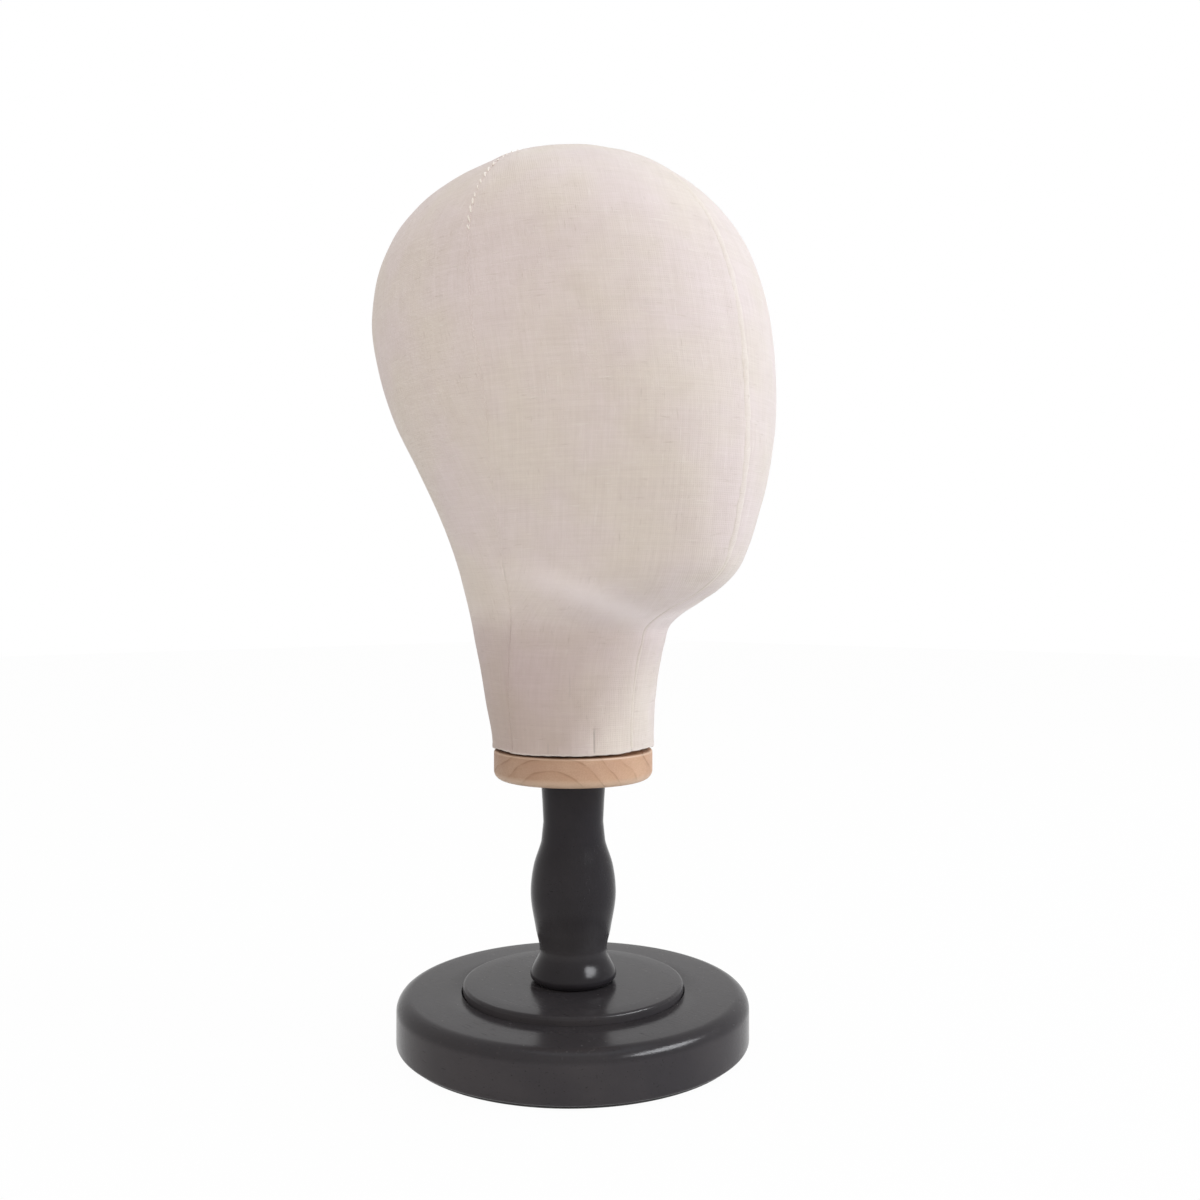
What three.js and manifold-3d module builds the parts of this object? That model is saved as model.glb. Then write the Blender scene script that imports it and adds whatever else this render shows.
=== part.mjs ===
// A display head for hats and wigs: a padded shell under a sewn linen cover, on a turned stand.
// Millimetres, +Z up. The origin is the middle of the base's underside, on the column's axis.
// The face looks along -Y, so the head's own left is +X. The head turns on a pin and lifts off it.
import * as THREE from "three";
import { mergeVertices } from "three/addons/utils/BufferGeometryUtils.js";
import Module from "manifold-3d";

const wasm = await Module();
wasm.setup();

// Clearances
const seatGap = 0.3; // between pieces that are glued, screwed or seated
const runningGap = 0.3; // round the pin in its bush
const thrustGap = 0.2; // over and under the swivel washer

// Base
const baseRadius = 77.5;
const baseThickness = 21;
const baseTopRound = 5;
const baseFootRound = 1.5;
const feltThickness = 1.2;
const feltMargin = 2.5; // from the base's edge to the felt's

// Step disc, let into the base
const stepRadius = 48.8;
const stepThickness = 6.2;
const stepRound = 1.5;
const recessDepth = 3;

// Column, turned in one piece: heights are above its foot
const columnLength = 88;
const footRadius = 16.8;
const beadRadius = 18.6;
const beadHeight = 3;
const coveRadius = 16.9;
const coveHeight = 8.8;
const waistRadius = 15.8;
const waistHeight = 14;
const flareRadius = 16.6;
const flareHeight = 22.5;
const bellyRadius = 18.9;
const bellyHeight = 39;
const shoulderRadius = 17.5;
const shoulderHeight = 51;
const shaftRadius = 14.2;
const shaftStart = 61.5;
const columnStep = 4.5; // between the rings of the turned outline

// Base bolt, its washer and the threaded insert in the column's foot
const boltRadius = 4;
const boltHeadRadius = 7.5;
const boltHeadHeight = 5;
const boltReach = 19; // into the column
const washerRadius = 10;
const washerThickness = 1.6;
const boltCover = 1.5; // the bolt's head is sunk this far above the base's underside
const insertWall = 2.2;
const insertLength = 16;

// Wood screws, all driven from below
const screwRadius = 1.9;
const screwHeadRadius = 3.7;
const screwHeadRim = 0.4;
const screwTip = 4;
const crossLength = 4.2;
const crossWidth = 1;
const crossDepth = 1.7;
const screwCount = 3;
const stepScrewCircle = 33; // radius that the screws stand on
const stepScrewSink = 4; // depth of the counterbore under the base
const stepScrewLength = 18;
const discScrewCircle = 21;
const discScrewLength = 32;

// Swivel pin, washer and bush
const pinRadius = 4;
const pinDepth = 30; // in the column
const pinRise = 42; // above the column
const pinChamfer = 0.8;
const swivelWasherThickness = 0.8;
const swivelWasherMargin = 1.5; // inside the column's edge
const bushWall = 1.2;
const bushLength = 36;
const bushFlangeRadius = 8.5;
const bushFlange = 1.2;
const pinHeadroom = 3; // over the pin's end, in the neck block

// Neck disc and neck block
const neckRadius = 35.6;
const discInset = 0.5; // the disc is this much smaller than the neck
const discThickness = 12.8;
const discFootRound = 4;
const discTopRound = 0.6;
const hemGap = 1.2; // shadow line between the disc and the cover's hem
const blockHeight = 44;
const blockTaper = 1.2; // less radius at the block's top

// The head's layers, from the outside in
const coverThickness = 0.8;
const paddingThickness = 2.2;
const shellWall = 4;
const seamGap = 1.4; // between neighbouring gores
const threadRadius = 0.45;
const threadSink = 0.05; // its centre lies this far under the cover's surface
const hemRise = 0.8; // the threads start this far above the hem

// The head's sections, each two half ellipses: height above the hem, reach to the front,
// reach to the back and half the width. The last is the crown, and crownHeight stretches all.
const crownHeight = 261.8;
const headSections = [
  [0, neckRadius, neckRadius, neckRadius],
  [20.5, 36, 41.5, 37],
  [35.5, 38.5, 45.5, 38],
  [46.5, 41.5, 48.5, 39.5],
  [54.5, 44.5, 50, 41],
  [61.5, 57.5, 51, 43],
  [68.5, 73, 52.5, 45],
  [76.5, 84, 54, 47.5],
  [86.5, 89.5, 56.5, 51],
  [102.5, 94, 62, 57.5],
  [122.5, 97, 72.5, 66],
  [146.5, 97, 90, 73],
  [170.5, 94.5, 103, 75.5],
  [195.5, 88.5, 111, 74.5],
  [220.5, 76, 104, 70],
  [241.5, 56, 88.5, 55.5],
  [261.8, 0, 0, 0],
];
// The side seam: height above the hem, and how far it lies in front of the column's axis
const sideSeam = [
  [0, 0],
  [35.5, 0],
  [60.5, 6.5],
  [85.5, 10],
  [115.5, 17.5],
  [142.5, 23.5],
  [170.5, 20.5],
  [200.5, 16.5],
  [225.5, 13],
  [245.5, 8.5],
  [261.8, 0],
];

// How finely round shapes are cut
const discSides = 40;
const columnSides = 28;
const smallSides = 16;
const screwSides = 10;
const roundSteps = 3;
const frontColumns = 5; // of the head's facets, from the front centre to the side seam
const backColumns = 6;
const headRowStep = 18;
const crownRows = 4;
const threadSides = 5;
const threadStep = 8;
const seamStep = 9;

// Heights of what stands on what
const baseBottom = feltThickness + seatGap;
const baseTop = baseBottom + baseThickness;
const recessFloor = baseTop - recessDepth;
const stepBottom = recessFloor + seatGap;
const columnBottom = stepBottom + stepThickness + seatGap;
const columnTop = columnBottom + columnLength;
const washerBottom = columnTop + thrustGap;
const discBottom = washerBottom + swivelWasherThickness + thrustGap;
const hemHeight = discBottom + discThickness + hemGap;
const boltHeadTop = baseBottom + boltCover + boltHeadHeight;
const boreFloor = boltHeadTop + seatGap + washerThickness + seatGap;
const paddingInset = coverThickness + seatGap;
const shellInset = paddingInset + paddingThickness + seatGap;
const hollowInset = shellInset + shellWall;
const blockRadius = neckRadius - hollowInset - seatGap;
const bushRadius = pinRadius + runningGap + bushWall;
const insertRadius = boltRadius + seatGap + insertWall;
const far = 400; // longer than anything it cuts
const overcut = 1; // how far a cutting tool stands out of the face that it enters

// A mesh's shape as a solid that can be cut, and back again
function solidOf(geometry) {
  const bare = geometry.clone();
  bare.deleteAttribute("normal");
  bare.deleteAttribute("uv");
  const merged = mergeVertices(bare, 1e-4);
  return new wasm.Manifold(
    new wasm.Mesh({
      numProp: 3,
      vertProperties: new Float32Array(merged.attributes.position.array),
      triVerts: new Uint32Array(merged.index.array),
    }),
  );
}

function geometryOf(solid) {
  const mesh = solid.getMesh();
  return new THREE.BufferGeometry()
    .setAttribute("position", new THREE.BufferAttribute(mesh.vertProperties, 3))
    .setIndex(new THREE.BufferAttribute(mesh.triVerts, 1));
}

const cut = (solid, ...tools) => tools.reduce((left, tool) => left.subtract(tool), solid);

// A turned shape from [radius, height] points that start and end on the axis
function turned(outline, sides) {
  const points = outline.map(([r, z]) => new THREE.Vector2(r, z));
  return new THREE.LatheGeometry(points, sides).rotateX(Math.PI / 2);
}

const rod = (radius, from, to, sides = smallSides) =>
  solidOf(turned([[0, from], [radius, from], [radius, to], [0, to]], sides));

// The outline of a disc with rounded edges; a round of 0 leaves the edge sharp
function discOutline(radius, height, footRound, topRound) {
  const points = [[0, 0]];
  const corner = (round, angleFrom, z) => {
    const steps = round > 0 ? roundSteps : 0;
    for (let i = 0; i <= steps; i++) {
      const angle = angleFrom + (steps ? (i / steps) * (Math.PI / 2) : 0);
      points.push([radius - round + round * Math.cos(angle), z + round * Math.sin(angle)]);
    }
  };
  corner(footRound, -Math.PI / 2, footRound);
  corner(topRound, 0, height - topRound);
  points.push([0, height]);
  return points;
}

function box(width, depth, height, x, y, z) {
  return solidOf(new THREE.BoxGeometry(width, depth, height).translate(x, y, z));
}

// The smooth curve through [x, y] points: its value and slope at x
function curveThrough(points) {
  const slope = points.map((p, i) => {
    if (i === 0) return 0;
    const before = (p[1] - points[i - 1][1]) / (p[0] - points[i - 1][0]);
    if (i === points.length - 1) return before;
    const after = (points[i + 1][1] - p[1]) / (points[i + 1][0] - p[0]);
    const spanBefore = p[0] - points[i - 1][0];
    const spanAfter = points[i + 1][0] - p[0];
    return (before * spanAfter + after * spanBefore) / (spanBefore + spanAfter);
  });
  return (x) => {
    if (x <= points[0][0]) return [points[0][1], 0];
    let i = 0;
    while (i < points.length - 2 && x > points[i + 1][0]) i++;
    const span = points[i + 1][0] - points[i][0];
    const t = Math.min((x - points[i][0]) / span, 1);
    const [y0, y1, m0, m1] = [points[i][1], points[i + 1][1], slope[i] * span, slope[i + 1] * span];
    const y = (1 + 2 * t) * (1 - t) ** 2 * y0 + t * (1 - t) ** 2 * m0 +
      t * t * (3 - 2 * t) * y1 + t * t * (t - 1) * m1;
    const dy = 6 * t * (t - 1) * (y0 - y1) + (1 - t) * (1 - 3 * t) * m0 + t * (3 * t - 2) * m1;
    return [y, dy / span];
  };
}

// Rows that start with a height, stretched so that the last lies at the crown
const stretched = (rows) => {
  const stretch = crownHeight / rows[rows.length - 1][0];
  return rows.map(([height, ...rest]) => [height * stretch, ...rest]);
};
const sections = stretched(headSections);
const sectionHeights = sections.slice(0, -1).map((section) => section[0]);
const lastHeight = sectionHeights[sectionHeights.length - 1];

// The head's surface. Squared reaches make the crown round, because they fall evenly to nothing.
const squared = (column) => curveThrough(sections.map((s) => [s[0], s[column] ** 2]));
const frontSquared = squared(1);
const backSquared = squared(2);
const widthSquared = squared(3);
const seamForward = curveThrough(stretched(sideSeam));

// A point of the head at an angle from the front towards its left, sunk by inset along the normal
function headPoint(angle, height, inset) {
  if (height >= crownHeight) return new THREE.Vector3(0, 0, crownHeight - inset);
  const [width2, widthSlope] = widthSquared(height);
  const [reach2, reachSlope] = (Math.cos(angle) > 0 ? frontSquared : backSquared)(height);
  const x = Math.sqrt(width2) * Math.sin(angle);
  const y = -Math.sqrt(reach2) * Math.cos(angle);
  const normal = new THREE.Vector3(
    x / width2,
    y / reach2,
    -0.5 * ((x * x * widthSlope) / width2 ** 2 + (y * y * reachSlope) / reach2 ** 2),
  ).normalize();
  return new THREE.Vector3(x, y, height).addScaledVector(normal, -inset);
}

// How far round the head the side seam is
const sideAngle = (height) =>
  Math.acos(seamForward(height)[0] / Math.sqrt(frontSquared(height)[0]));

// Angles of a ring's points, of which one lies on each seam
function ringAngles(height) {
  const side = sideAngle(height);
  const left = [];
  for (let k = 0; k < frontColumns; k++) left.push((side * k) / frontColumns);
  for (let k = 0; k <= backColumns; k++) left.push(side + ((Math.PI - side) * k) / backColumns);
  return [...left, ...left.slice(1, -1).reverse().map((angle) => 2 * Math.PI - angle)];
}

// Heights over the last section but the crown, closer together towards the crown
const crownHeights = (steps) =>
  Array.from({ length: steps }, (_, k) =>
    lastHeight + (crownHeight - lastHeight) * Math.sin((k / steps) * (Math.PI / 2)));

// Heights of the rings that the head is built from, from below the hem to just under the crown
function headRows() {
  const rows = [-headRowStep];
  for (let i = 0; i < sectionHeights.length - 1; i++) {
    const [from, to] = [sectionHeights[i], sectionHeights[i + 1]];
    const parts = Math.ceil((to - from) / headRowStep);
    for (let k = 0; k < parts; k++) rows.push(from + ((to - from) * k) / parts);
  }
  return [...rows, ...crownHeights(crownRows)];
}

// The whole head as one solid, sunk by inset and cut flat at floor
function headSolid(inset, floor) {
  const rows = headRows();
  const columns = 2 * (frontColumns + backColumns);
  const points = rows.flatMap((height) =>
    ringAngles(height).map((angle) => headPoint(angle, height, inset)));
  const foot = points.push(new THREE.Vector3(0, 0, points[0].z)) - 1;
  const crown = points.push(headPoint(0, crownHeight, inset)) - 1;
  const faces = [];
  for (let k = 0; k < columns; k++) {
    const next = (k + 1) % columns;
    faces.push(foot, next, k);
    for (let row = 0; row < rows.length - 1; row++) {
      const [a, b] = [row * columns + k, row * columns + next];
      faces.push(a, b, b + columns, a, b + columns, a + columns);
    }
    const top = (rows.length - 1) * columns;
    faces.push(top + k, top + next, crown);
  }
  const geometry = new THREE.BufferGeometry().setFromPoints(points).setIndex(faces);
  return cut(solidOf(geometry), box(far, far, far, 0, 0, floor - far / 2));
}

// Heights along a seam, closer together where it runs over the crown
function seamHeights(start) {
  const steps = Math.ceil((lastHeight - start) / seamStep);
  const heights = Array.from({ length: steps }, (_, i) => start + ((lastHeight - start) * i) / steps);
  return [...heights, ...crownHeights(2 * crownRows)];
}

// One quarter of space between the seams: front or back, left or right
function seamQuarter(front, left) {
  const toward = front ? -1 : 1;
  const [low, high] = [-overcut, far];
  const heights = [low, ...seamHeights(0), crownHeight, high];
  const outline = heights.map((height) =>
    new THREE.Vector2(-seamForward(height)[0] + (toward * seamGap) / 2, height));
  outline.push(new THREE.Vector2(toward * far, high), new THREE.Vector2(toward * far, low));
  const axes = new THREE.Matrix4().makeBasis(
    new THREE.Vector3(0, 1, 0),
    new THREE.Vector3(0, 0, 1),
    new THREE.Vector3(1, 0, 0),
  );
  const start = left ? seamGap / 2 : -far - seamGap / 2;
  return solidOf(
    new THREE.ExtrudeGeometry(new THREE.Shape(outline), { depth: far, bevelEnabled: false })
      .applyMatrix4(axes)
      .translate(start, 0, 0),
  );
}

function coverGore(front, left) {
  const lipHole = rod(blockRadius + seatGap, -far, coverThickness + overcut, columnSides);
  const sleeve = cut(headSolid(0, 0), headSolid(coverThickness, coverThickness), lipHole);
  return geometryOf(sleeve.intersect(seamQuarter(front, left)));
}

// A raised seam between two gores. angleAt gives its angle round the head at a height.
function seamThread(angleAt) {
  const path = new THREE.CatmullRomCurve3(
    seamHeights(hemRise).map((height) => headPoint(angleAt(height), height, threadSink)),
    false,
    "centripetal",
  );
  const section = new THREE.Shape(
    Array.from({ length: threadSides }, (_, k) => {
      const angle = (k / threadSides) * 2 * Math.PI;
      return new THREE.Vector2(threadRadius * Math.cos(angle), threadRadius * Math.sin(angle));
    }),
  );
  const steps = Math.ceil(path.getLength() / threadStep);
  return new THREE.ExtrudeGeometry(section, { steps, extrudePath: path, bevelEnabled: false });
}

// The padding is one sleeve, open at the neck
function padding() {
  return geometryOf(
    cut(headSolid(paddingInset, paddingInset), headSolid(paddingInset + paddingThickness, -headRowStep)),
  );
}

// The moulded shell is glued up from a front and a back half
function shellHalf(front) {
  const shell = cut(headSolid(shellInset, paddingInset), headSolid(hollowInset, -headRowStep));
  const otherHalf = (far - seatGap) / 2;
  return geometryOf(cut(shell, box(far, far, 2 * far, 0, front ? otherHalf : -otherHalf, 0)));
}

// Where a ring of screws stands
function screwPlaces(circle) {
  return Array.from({ length: screwCount }, (_, k) => {
    const angle = Math.PI / 2 + (k / screwCount) * 2 * Math.PI;
    return new THREE.Vector3(circle * Math.cos(angle), circle * Math.sin(angle), 0);
  });
}

// A countersunk wood screw, its head at 0 facing down. Grown by a gap it is the hole that the
// screw goes in, with a bore below its head.
function screwSolid(length, grown = 0, bore = 0) {
  const head = screwHeadRadius + grown;
  const shank = screwRadius + grown;
  const neck = screwHeadRim + screwHeadRadius - screwRadius;
  return solidOf(turned(
    [[0, -bore], [head, -bore], [head, screwHeadRim], [shank, neck],
      [shank, length + grown - screwTip], [shank / 3, length + grown], [0, length + grown]],
    screwSides,
  ));
}

function woodScrew(length) {
  const deep = 2 * crossDepth;
  return geometryOf(cut(
    screwSolid(length),
    box(crossLength, crossWidth, deep, 0, 0, 0),
    box(crossWidth, crossLength, deep, 0, 0, 0),
  ));
}

const screwHoles = (circle, from, length) =>
  screwPlaces(circle).map((place) =>
    screwSolid(length, seatGap, Math.abs(from) + overcut).translate([place.x, place.y, from]));

function baseDisc() {
  const outline = discOutline(baseRadius, baseThickness, baseFootRound, baseTopRound);
  return geometryOf(cut(
    solidOf(turned(outline, discSides)),
    rod(stepRadius + seatGap, baseThickness - recessDepth, far, discSides),
    rod(washerRadius + seatGap, -far, boreFloor - baseBottom),
    rod(boltRadius + seatGap, -far, far),
    ...screwHoles(stepScrewCircle, stepScrewSink, stepScrewLength),
  ));
}

function stepDisc() {
  const outline = discOutline(stepRadius, stepThickness, 0, stepRound);
  const screwFrom = baseBottom + stepScrewSink - stepBottom;
  return geometryOf(cut(
    solidOf(turned(outline, discSides)),
    rod(boltRadius + seatGap, -far, far),
    ...screwHoles(stepScrewCircle, screwFrom, stepScrewLength),
  ));
}

function column() {
  const radiusAt = curveThrough([
    [0, footRadius], [beadHeight, beadRadius], [coveHeight, coveRadius],
    [waistHeight, waistRadius], [flareHeight, flareRadius], [bellyHeight, bellyRadius],
    [shoulderHeight, shoulderRadius], [shaftStart, shaftRadius], [columnLength, shaftRadius],
  ]);
  const outline = [[0, 0], [footRadius, 0], [radiusAt(beadHeight / 2)[0], beadHeight / 2]];
  const rings = Math.ceil((shaftStart - beadHeight) / columnStep);
  for (let i = 0; i <= rings; i++) {
    const height = beadHeight + ((shaftStart - beadHeight) * i) / rings;
    outline.push([radiusAt(height)[0], height]);
  }
  outline.push([shaftRadius, columnLength], [0, columnLength]);
  const reach = boltReach + seatGap + boltRadius;
  return geometryOf(cut(
    solidOf(turned(outline, columnSides)),
    rod(insertRadius + seatGap, -far, insertLength + 2 * seatGap),
    rod(boltRadius + seatGap, -far, reach),
    rod(pinRadius + seatGap, columnLength - pinDepth - seatGap, far),
  ));
}

function columnInsert() {
  return geometryOf(cut(rod(insertRadius, 0, insertLength), rod(boltRadius + seatGap, -overcut, far)));
}

function baseBolt() {
  const head = new THREE.CylinderGeometry(boltHeadRadius, boltHeadRadius, boltHeadHeight, 6)
    .rotateX(Math.PI / 2)
    .translate(0, 0, boltHeadTop - boltHeadHeight / 2);
  const shankEnd = columnBottom + boltReach;
  return geometryOf(solidOf(head).add(rod(boltRadius, boltHeadTop - overcut, shankEnd)));
}

// A flat washer with its underside at 0
const washer = (radius, hole, thickness, sides) =>
  geometryOf(cut(rod(radius, 0, thickness, sides), rod(hole, -overcut, far, sides)));

function swivelPin() {
  const end = pinDepth + pinRise;
  return turned(
    [[0, 0], [pinRadius - pinChamfer, 0], [pinRadius, pinChamfer],
      [pinRadius, end - pinChamfer], [pinRadius - pinChamfer, end], [0, end]],
    smallSides,
  );
}

function neckBush() {
  const sleeve = turned(
    [[0, 0], [bushFlangeRadius, 0], [bushFlangeRadius, bushFlange], [bushRadius, bushFlange],
      [bushRadius, bushLength], [0, bushLength]],
    smallSides,
  );
  return geometryOf(cut(solidOf(sleeve), rod(pinRadius + runningGap, -overcut, far)));
}

function neckDisc() {
  const outline = discOutline(neckRadius - discInset, discThickness, discFootRound, discTopRound);
  return geometryOf(cut(
    solidOf(turned(outline, discSides)),
    rod(bushRadius + seatGap, -overcut, far),
    rod(bushFlangeRadius + seatGap, -overcut, bushFlange + seatGap),
    ...screwHoles(discScrewCircle, 0, discScrewLength),
  ));
}

// The block's underside is at 0, seated on the neck disc
function neckBlock() {
  const screwFrom = -(discThickness + seatGap);
  const pinEnd = columnTop + pinRise + pinHeadroom - (discBottom + discThickness + seatGap);
  const outline = [[0, 0], [blockRadius, 0], [blockRadius - blockTaper, blockHeight], [0, blockHeight]];
  return geometryOf(cut(
    solidOf(turned(outline, columnSides)),
    rod(bushRadius + seatGap, -overcut, pinEnd),
    ...screwHoles(discScrewCircle, screwFrom, discScrewLength),
  ));
}

// Materials
const finish = (color, roughness, metalness) => () =>
  new THREE.MeshStandardMaterial({ color, roughness, metalness });
const linen = finish(0xdccfc6, 0.95, 0);
const thread = finish(0xe9e0d4, 0.9, 0);
const wadding = finish(0xf2efe8, 1, 0);
const pulp = finish(0xa9977f, 0.95, 0);
const pine = finish(0xc89f80, 0.6, 0);
const blackLacquer = finish(0x2c292a, 0.35, 0);
const steel = finish(0xb8babd, 0.35, 1);
const brass = finish(0xc2a25a, 0.35, 1);
const fibre = finish(0x6e5a48, 0.8, 0);
const felt = finish(0x3a3a3c, 1, 0);

function piece(group, name, geometry, material, place = [0, 0, 0]) {
  const mesh = new THREE.Mesh(geometry, material());
  mesh.name = name;
  mesh.position.set(...place);
  group.add(mesh);
}

function screws(group, name, circle, height, length) {
  screwPlaces(circle).forEach((place, k) =>
    piece(group, `${name}_${k + 1}`, woodScrew(length), steel, [place.x, place.y, height]));
}

// The stand
const stand = new THREE.Group();
const feltRadius = baseRadius - feltMargin;
piece(stand, "base_felt_pad", turned(discOutline(feltRadius, feltThickness, 0, 0), discSides), felt);
piece(stand, "base_disc", baseDisc(), blackLacquer, [0, 0, baseBottom]);
piece(stand, "step_disc", stepDisc(), blackLacquer, [0, 0, stepBottom]);
screws(stand, "step_disc_screw", stepScrewCircle, baseBottom + stepScrewSink, stepScrewLength);
piece(stand, "base_bolt", baseBolt(), steel);
const boltWasher = washer(washerRadius, boltRadius + seatGap, washerThickness, smallSides);
piece(stand, "base_bolt_washer", boltWasher, steel, [0, 0, boltHeadTop + seatGap]);
piece(stand, "column", column(), blackLacquer, [0, 0, columnBottom]);
piece(stand, "column_insert", columnInsert(), brass, [0, 0, columnBottom + seatGap]);
piece(stand, "swivel_pin", swivelPin(), steel, [0, 0, columnTop - pinDepth]);

// The washer turns with the head and stays on the column when the head is lifted off
const swivel = new THREE.Group();
const swivelWasher = washer(
  shaftRadius - swivelWasherMargin, pinRadius + runningGap, swivelWasherThickness, columnSides,
);
piece(swivel, "swivel_washer", swivelWasher, fibre, [0, 0, washerBottom]);

// The head: its foot first, then its layers from the inside out, all above the hem
const head = new THREE.Group();
piece(head, "neck_disc", neckDisc(), pine, [0, 0, discBottom]);
piece(head, "neck_bush", neckBush(), brass, [0, 0, discBottom]);
screws(head, "neck_disc_screw", discScrewCircle, discBottom, discScrewLength);
piece(head, "neck_block", neckBlock(), pine, [0, 0, discBottom + discThickness + seatGap]);

const layers = new THREE.Group();
layers.position.z = hemHeight;
head.add(layers);
piece(layers, "core_front", shellHalf(true), pulp);
piece(layers, "core_back", shellHalf(false), pulp);
piece(layers, "padding", padding(), wadding);
piece(layers, "cover_front_left", coverGore(true, true), linen);
piece(layers, "cover_front_right", coverGore(true, false), linen);
piece(layers, "cover_back_left", coverGore(false, true), linen);
piece(layers, "cover_back_right", coverGore(false, false), linen);
piece(layers, "seam_front", seamThread(() => 0), thread);
piece(layers, "seam_back", seamThread(() => Math.PI), thread);
piece(layers, "seam_left", seamThread(sideAngle), thread);
piece(layers, "seam_right", seamThread((height) => -sideAngle(height)), thread);

const mannequinHead = new THREE.Group();
mannequinHead.add(stand, swivel, head);
export default mannequinHead;
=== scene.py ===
"""A display head for hats and wigs: a sewn linen cover on a turned and lacquered wooden stand.

Pieces are built in millimetres and turned into metres when their mesh is made. +Z is up, the
face looks along -Y, and the head's own left is +X.
"""

import math

import bpy
import numpy as np
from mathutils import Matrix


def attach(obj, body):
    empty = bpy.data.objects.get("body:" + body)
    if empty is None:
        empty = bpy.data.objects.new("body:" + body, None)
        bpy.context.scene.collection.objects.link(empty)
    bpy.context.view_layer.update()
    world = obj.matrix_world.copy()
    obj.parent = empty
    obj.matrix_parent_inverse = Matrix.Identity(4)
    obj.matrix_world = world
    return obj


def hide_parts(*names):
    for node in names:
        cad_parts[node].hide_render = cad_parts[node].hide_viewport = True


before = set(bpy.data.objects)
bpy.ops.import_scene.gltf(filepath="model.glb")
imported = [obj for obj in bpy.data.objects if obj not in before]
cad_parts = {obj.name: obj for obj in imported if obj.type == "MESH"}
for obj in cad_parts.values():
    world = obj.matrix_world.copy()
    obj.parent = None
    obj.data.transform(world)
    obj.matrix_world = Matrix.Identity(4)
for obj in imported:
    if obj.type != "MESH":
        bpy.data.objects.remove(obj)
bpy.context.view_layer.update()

MM = 0.001
TURN = 2 * math.pi
TINY = 1e-6

# Heights of what stands on what, as in the CAD
FELT_TOP = 1.2
BASE_BOTTOM = 1.5
BASE_TOP = 22.5
RECESS_FLOOR = 19.5
STEP_BOTTOM = 19.8
STEP_TOP = 26.0
COLUMN_BOTTOM = 26.3
WASHER_BOTTOM = 114.5
WASHER_TOP = 115.3
DISC_BOTTOM = 115.5
DISC_TOP = 128.3
HEM = 129.5
CROWN = 261.8  # above the hem

# Radii of the stand and of its holes
BASE_RADIUS = 77.5
BASE_ROUNDING = 6.5
RECESS_RADIUS = 49.1
STEP_RADIUS = 48.8
WASHER_RADIUS = 12.7
DISC_RADIUS = 35.1
BORE = 4.3  # for the pin and the bolt
BOLT_BORE = 10.3  # for the bolt's head and washer
BOLT_FLOOR = 10.2
INSERT_BORE = 6.8
PIN_RADIUS = 4.0
BLOCK_RADIUS = 27.7
SCREW_ANGLES = [math.pi / 2 + TURN * k / 3 for k in range(3)]
DISC_SCREW_CIRCLE = 21.0
STEP_SCREW_CIRCLE = 33.0

# The cover and what is under it
COVER = 0.6  # the linen's thickness
COVER_INSET = 1.1  # the padding starts this far under the linen's face
PADDING = 2.2
THREAD_PITCH = 0.85  # of the linen's weave
HEM_FOLD = 0.75  # radius of the hem's fold
HEM_IN_WEAVE = 10.0  # the weave coordinate of that fold
SEAM_ALLOWANCE = 2.0
HEM_ALLOWANCE = 12.0

# Height above the hem, reach to the front, reach to the back and half the width
HEAD_SECTIONS = np.array([
    [0, 35.6, 35.6, 35.6], [20.5, 36, 41.5, 37], [35.5, 38.5, 45.5, 38],
    [46.5, 41.5, 48.5, 39.5], [54.5, 44.5, 50, 41], [61.5, 57.5, 51, 43], [68.5, 73, 52.5, 45],
    [76.5, 84, 54, 47.5], [86.5, 89.5, 56.5, 51], [102.5, 94, 62, 57.5], [122.5, 97, 72.5, 66],
    [146.5, 97, 90, 73], [170.5, 94.5, 103, 75.5], [195.5, 88.5, 111, 74.5],
    [220.5, 76, 104, 70], [241.5, 56, 88.5, 55.5], [CROWN, 0, 0, 0],
])
# Height above the hem and how far the side seam lies in front of the column's axis
SIDE_SEAM = np.array([
    [0, 0], [35.5, 0], [60.5, 6.5], [85.5, 10], [115.5, 17.5], [142.5, 23.5], [170.5, 20.5],
    [200.5, 16.5], [225.5, 13], [245.5, 8.5], [CROWN, 0],
])
# Angle round the head in degrees, from the front towards its left, and the hem's rise there
HEM_WAVE = np.array([
    [-180, 0.35], [-155, -0.3], [-138, -0.75], [-126, -0.4], [-112, 0.35], [-99, 0.25],
    [-88, -0.35], [-71, -0.35], [-54, -0.15], [-38, -0.25], [-24, -0.05], [-9, 0.0], [-3, 0.45],
    [4, 0.6], [25, 0.8], [38, 0.0], [52, -0.6], [70, -0.4], [95, 0.3], [120, -0.2], [150, 0.1],
    [180, 0.35],
])


def curve_through(xs, ys):
    """The smooth curve through points, as a function that gives its value and slope."""
    spans = np.diff(xs)
    chords = np.diff(ys) / spans
    slopes = np.zeros(len(xs))
    slopes[-1] = chords[-1]
    slopes[1:-1] = (chords[:-1] * spans[1:] + chords[1:] * spans[:-1]) / (spans[:-1] + spans[1:])

    def at(x):
        i = np.clip(np.searchsorted(xs, x, side="left") - 1, 0, len(spans) - 1)
        t = np.clip((x - xs[i]) / spans[i], 0, 1)
        y0, y1 = ys[i], ys[i + 1]
        m0, m1 = slopes[i] * spans[i], slopes[i + 1] * spans[i]
        value = (
            (1 + 2 * t) * (1 - t) ** 2 * y0 + t * (1 - t) ** 2 * m0
            + t * t * (3 - 2 * t) * y1 + t * t * (t - 1) * m1
        )
        slope = 6 * t * (t - 1) * (y0 - y1) + (1 - t) * (1 - 3 * t) * m0 + t * (3 * t - 2) * m1
        return value, slope / spans[i]

    return at


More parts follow.
